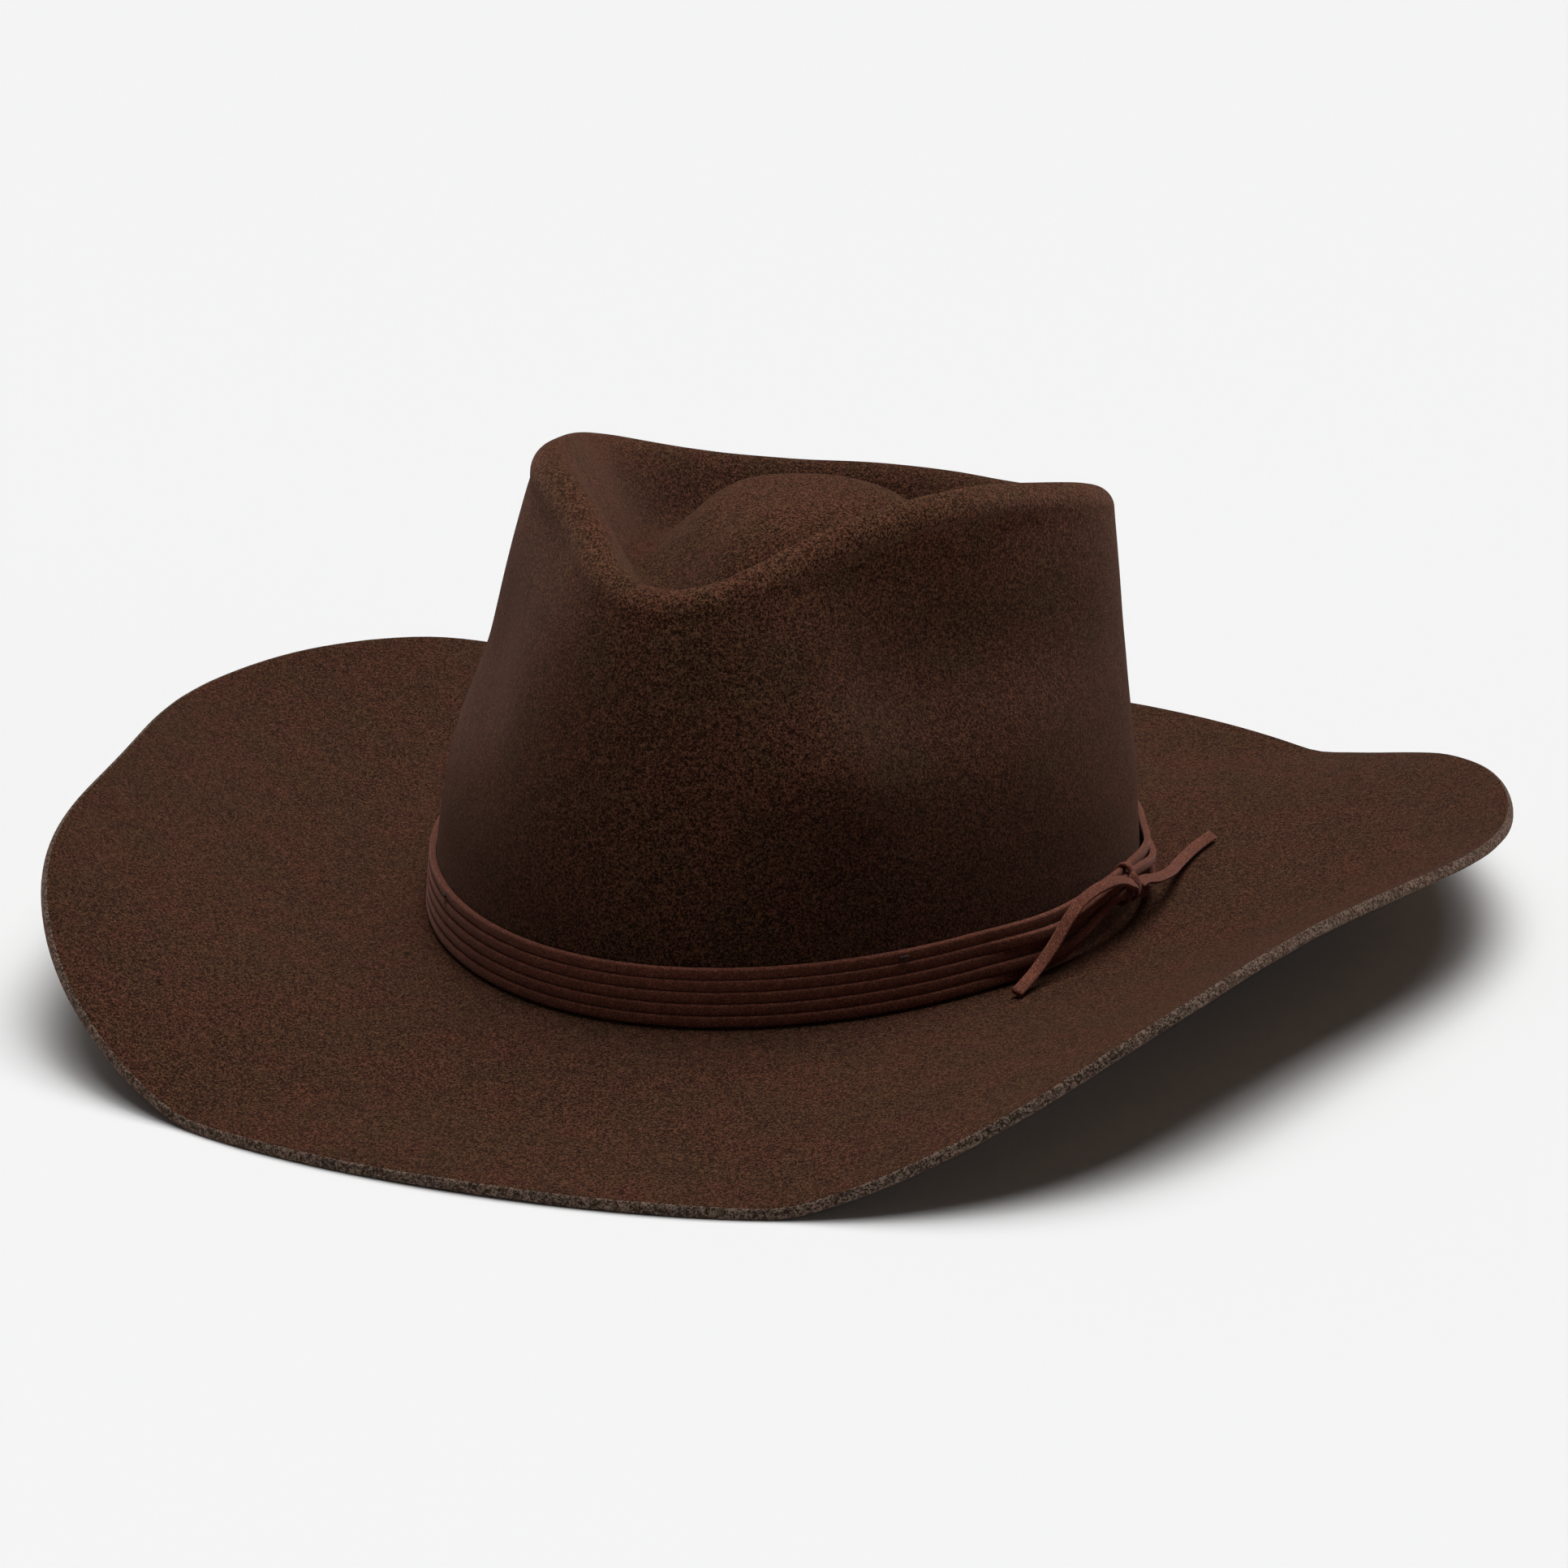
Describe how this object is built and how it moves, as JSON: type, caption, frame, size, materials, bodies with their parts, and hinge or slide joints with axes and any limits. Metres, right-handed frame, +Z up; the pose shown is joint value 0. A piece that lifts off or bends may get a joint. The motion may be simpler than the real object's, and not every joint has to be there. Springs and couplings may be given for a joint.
{
  "type": "wide-brimmed felt hat",
  "caption": "Brown felt hat with a teardrop-creased crown, a wide brim rolled up at the sides and a suede lace wound round the crown and knotted at one side.",
  "frame": {"origin": "the middle of the brim's outline, on the plane that the hat stands on", "axes": "+Z up through the crown, -Y towards the front of the hat, +X towards the wearer's left"},
  "size_m": [0.364, 0.4034, 0.125],
  "materials": {
    "felt": "matt brushed felt, dark brown",
    "suede": "matt suede, red-brown",
    "sweatband_leather": "smooth leather, satin",
    "thread": "matt sewing thread and ribbon, near black"
  },
  "bodies": {
    "root": {"felt_body": "felt", "sweatband": "sweatband_leather", "sweatband_reed": "sweatband_leather", "sweatband_bow": "thread", "lace_turn_1": "suede", "lace_turn_2": "suede", "lace_turn_3": "suede", "lace_turn_4": "suede", "lace_turn_5": "suede", "lace_knot_wrap": "suede", "lace_knot_loop": "suede", "lace_tail_front": "suede", "lace_tail_back": "suede", "band_tack_1": "thread", "band_tack_2": "thread", "band_tack_3": "thread", "band_tack_4": "thread"}
  },
  "joints": []
}
